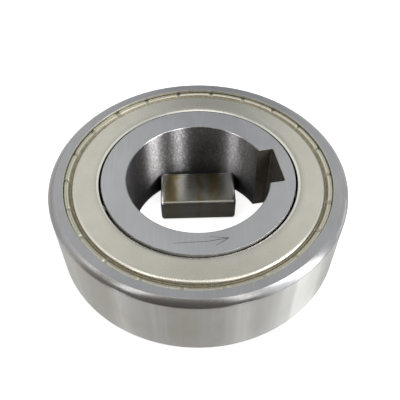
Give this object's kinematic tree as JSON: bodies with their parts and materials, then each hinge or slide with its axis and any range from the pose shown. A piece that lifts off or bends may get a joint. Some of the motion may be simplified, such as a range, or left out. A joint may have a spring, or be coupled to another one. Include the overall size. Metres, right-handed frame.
{
  "type": "sprag clutch bearing",
  "caption": "One-way sprag clutch with ball bearing: ground outer ring, keyed inner ring, a crimped sheet shield on each side and a loose rectangular drive key.",
  "frame": {"origin": "on the ring axis, in the lower side face that the clutch stands on", "axes": "+Z along the axis, up through the face with the direction arrow; +X through the middle of the inner ring's keyway"},
  "size_m": [0.052, 0.052, 0.015],
  "materials": {
    "ground_steel": "fine ground bearing steel",
    "plated_sheet": "satin zinc-plated sheet",
    "spring_steel": "bright drawn wire",
    "polished_balls": "polished",
    "hardened_sprags": "fine ground",
    "cage_polyamide": "moulded, matte",
    "dark_key_steel": "dark, lightly oiled cold-drawn steel"
  },
  "bodies": {
    "outer_race": {"outer_ring": "ground_steel", "shield_top": "plated_sheet", "shield_bottom": "plated_sheet"},
    "inner_race": {"inner_ring": "ground_steel"},
    "cage_set": {"cage": "cage_polyamide", "garter_top": "spring_steel", "garter_bottom": "spring_steel"},
    "ball_1": {"ball_1": "polished_balls"},
    "ball_2": {"ball_2": "polished_balls"},
    "ball_3": {"ball_3": "polished_balls"},
    "ball_4": {"ball_4": "polished_balls"},
    "ball_5": {"ball_5": "polished_balls"},
    "ball_6": {"ball_6": "polished_balls"},
    "ball_7": {"ball_7": "polished_balls"},
    "sprag_1": {"sprag_1": "hardened_sprags"},
    "sprag_2": {"sprag_2": "hardened_sprags"},
    "sprag_3": {"sprag_3": "hardened_sprags"},
    "sprag_4": {"sprag_4": "hardened_sprags"},
    "sprag_5": {"sprag_5": "hardened_sprags"},
    "sprag_6": {"sprag_6": "hardened_sprags"},
    "sprag_7": {"sprag_7": "hardened_sprags"},
    "sprag_8": {"sprag_8": "hardened_sprags"},
    "sprag_9": {"sprag_9": "hardened_sprags"},
    "sprag_10": {"sprag_10": "hardened_sprags"},
    "sprag_11": {"sprag_11": "hardened_sprags"},
    "sprag_12": {"sprag_12": "hardened_sprags"},
    "sprag_13": {"sprag_13": "hardened_sprags"},
    "sprag_14": {"sprag_14": "hardened_sprags"},
    "loose_key": {"drive_key": "dark_key_steel"}
  },
  "joints": [
    {"name": "inner_ring_spin", "type": "hinge", "parent": "outer_race", "child": "inner_race", "pos_m": [0, 0, 0.0075], "axis": [0, 0, 1], "range_deg": [0, 3690]},
    {"name": "cage_orbit", "type": "hinge", "parent": "outer_race", "child": "cage_set", "pos_m": [0, 0, 0.0075], "axis": [0, 0, 1], "range_deg": [0, 1600]},
    {"name": "ball_1_roll", "type": "hinge", "parent": "cage_set", "child": "ball_1", "pos_m": [0.01905, 0, 0.0075], "axis": [0, 0, 1], "range_deg": [-12500, 0]},
    {"name": "ball_2_roll", "type": "hinge", "parent": "cage_set", "child": "ball_2", "pos_m": [0.01188, 0.01489, 0.0075], "axis": [0, 0, 1], "range_deg": [-12500, 0]},
    {"name": "ball_3_roll", "type": "hinge", "parent": "cage_set", "child": "ball_3", "pos_m": [-0.00424, 0.01857, 0.0075], "axis": [0, 0, 1], "range_deg": [-12500, 0]},
    {"name": "ball_4_roll", "type": "hinge", "parent": "cage_set", "child": "ball_4", "pos_m": [-0.01716, 0.00827, 0.0075], "axis": [0, 0, 1], "range_deg": [-12500, 0]},
    {"name": "ball_5_roll", "type": "hinge", "parent": "cage_set", "child": "ball_5", "pos_m": [-0.01716, -0.00827, 0.0075], "axis": [0, 0, 1], "range_deg": [-12500, 0]},
    {"name": "ball_6_roll", "type": "hinge", "parent": "cage_set", "child": "ball_6", "pos_m": [-0.00424, -0.01857, 0.0075], "axis": [0, 0, 1], "range_deg": [-12500, 0]},
    {"name": "ball_7_roll", "type": "hinge", "parent": "cage_set", "child": "ball_7", "pos_m": [0.01188, -0.01489, 0.0075], "axis": [0, 0, 1], "range_deg": [-12500, 0]},
    {"name": "sprag_1_tilt", "type": "hinge", "parent": "cage_set", "child": "sprag_1", "pos_m": [0.01812, 0.00589, 0.0075], "axis": [0, 0, 1], "range_deg": [-4, 0], "stiffness_Nm_per_rad": 0.007},
    {"name": "sprag_2_tilt", "type": "hinge", "parent": "cage_set", "child": "sprag_2", "pos_m": [0.0159, 0.01049, 0.0075], "axis": [0, 0, 1], "range_deg": [-4, 0]},
    {"name": "sprag_3_tilt", "type": "hinge", "parent": "cage_set", "child": "sprag_3", "pos_m": [0.00669, 0.01784, 0.0075], "axis": [0, 0, 1], "range_deg": [-4, 0]},
    {"name": "sprag_4_tilt", "type": "hinge", "parent": "cage_set", "child": "sprag_4", "pos_m": [0.00171, 0.01897, 0.0075], "axis": [0, 0, 1], "range_deg": [-4, 0]},
    {"name": "sprag_5_tilt", "type": "hinge", "parent": "cage_set", "child": "sprag_5", "pos_m": [-0.00977, 0.01635, 0.0075], "axis": [0, 0, 1], "range_deg": [-4, 0]},
    {"name": "sprag_6_tilt", "type": "hinge", "parent": "cage_set", "child": "sprag_6", "pos_m": [-0.01377, 0.01316, 0.0075], "axis": [0, 0, 1], "range_deg": [-4, 0]},
    {"name": "sprag_7_tilt", "type": "hinge", "parent": "cage_set", "child": "sprag_7", "pos_m": [-0.01888, 0.00256, 0.0075], "axis": [0, 0, 1], "range_deg": [-4, 0]},
    {"name": "sprag_8_tilt", "type": "hinge", "parent": "cage_set", "child": "sprag_8", "pos_m": [-0.01888, -0.00256, 0.0075], "axis": [0, 0, 1], "range_deg": [-4, 0]},
    {"name": "sprag_9_tilt", "type": "hinge", "parent": "cage_set", "child": "sprag_9", "pos_m": [-0.01377, -0.01316, 0.0075], "axis": [0, 0, 1], "range_deg": [-4, 0]},
    {"name": "sprag_10_tilt", "type": "hinge", "parent": "cage_set", "child": "sprag_10", "pos_m": [-0.00977, -0.01635, 0.0075], "axis": [0, 0, 1], "range_deg": [-4, 0]},
    {"name": "sprag_11_tilt", "type": "hinge", "parent": "cage_set", "child": "sprag_11", "pos_m": [0.00171, -0.01897, 0.0075], "axis": [0, 0, 1], "range_deg": [-4, 0]},
    {"name": "sprag_12_tilt", "type": "hinge", "parent": "cage_set", "child": "sprag_12", "pos_m": [0.00669, -0.01784, 0.0075], "axis": [0, 0, 1], "range_deg": [-4, 0]},
    {"name": "sprag_13_tilt", "type": "hinge", "parent": "cage_set", "child": "sprag_13", "pos_m": [0.0159, -0.01049, 0.0075], "axis": [0, 0, 1], "range_deg": [-4, 0]},
    {"name": "sprag_14_tilt", "type": "hinge", "parent": "cage_set", "child": "sprag_14", "pos_m": [0.01812, -0.00589, 0.0075], "axis": [0, 0, 1], "range_deg": [-4, 0]},
    {"name": "key_lift", "type": "slide", "parent": "outer_race", "child": "loose_key", "axis": [0, 0, 1], "range_m": [0, 0.03]}
  ],
  "couplings": [
    {"joint": "cage_orbit", "follows": "inner_ring_spin", "ratio": 0.42709},
    {"joint": "ball_1_roll", "follows": "inner_ring_spin", "ratio": -3.3558},
    {"joint": "ball_2_roll", "follows": "inner_ring_spin", "ratio": -3.3558},
    {"joint": "ball_3_roll", "follows": "inner_ring_spin", "ratio": -3.3558},
    {"joint": "ball_4_roll", "follows": "inner_ring_spin", "ratio": -3.3558},
    {"joint": "ball_5_roll", "follows": "inner_ring_spin", "ratio": -3.3558},
    {"joint": "ball_6_roll", "follows": "inner_ring_spin", "ratio": -3.3558},
    {"joint": "ball_7_roll", "follows": "inner_ring_spin", "ratio": -3.3558},
    {"joint": "sprag_2_tilt", "follows": "sprag_1_tilt", "ratio": 1},
    {"joint": "sprag_3_tilt", "follows": "sprag_1_tilt", "ratio": 1},
    {"joint": "sprag_4_tilt", "follows": "sprag_1_tilt", "ratio": 1},
    {"joint": "sprag_5_tilt", "follows": "sprag_1_tilt", "ratio": 1},
    {"joint": "sprag_6_tilt", "follows": "sprag_1_tilt", "ratio": 1},
    {"joint": "sprag_7_tilt", "follows": "sprag_1_tilt", "ratio": 1},
    {"joint": "sprag_8_tilt", "follows": "sprag_1_tilt", "ratio": 1},
    {"joint": "sprag_9_tilt", "follows": "sprag_1_tilt", "ratio": 1},
    {"joint": "sprag_10_tilt", "follows": "sprag_1_tilt", "ratio": 1},
    {"joint": "sprag_11_tilt", "follows": "sprag_1_tilt", "ratio": 1},
    {"joint": "sprag_12_tilt", "follows": "sprag_1_tilt", "ratio": 1},
    {"joint": "sprag_13_tilt", "follows": "sprag_1_tilt", "ratio": 1},
    {"joint": "sprag_14_tilt", "follows": "sprag_1_tilt", "ratio": 1}
  ]
}
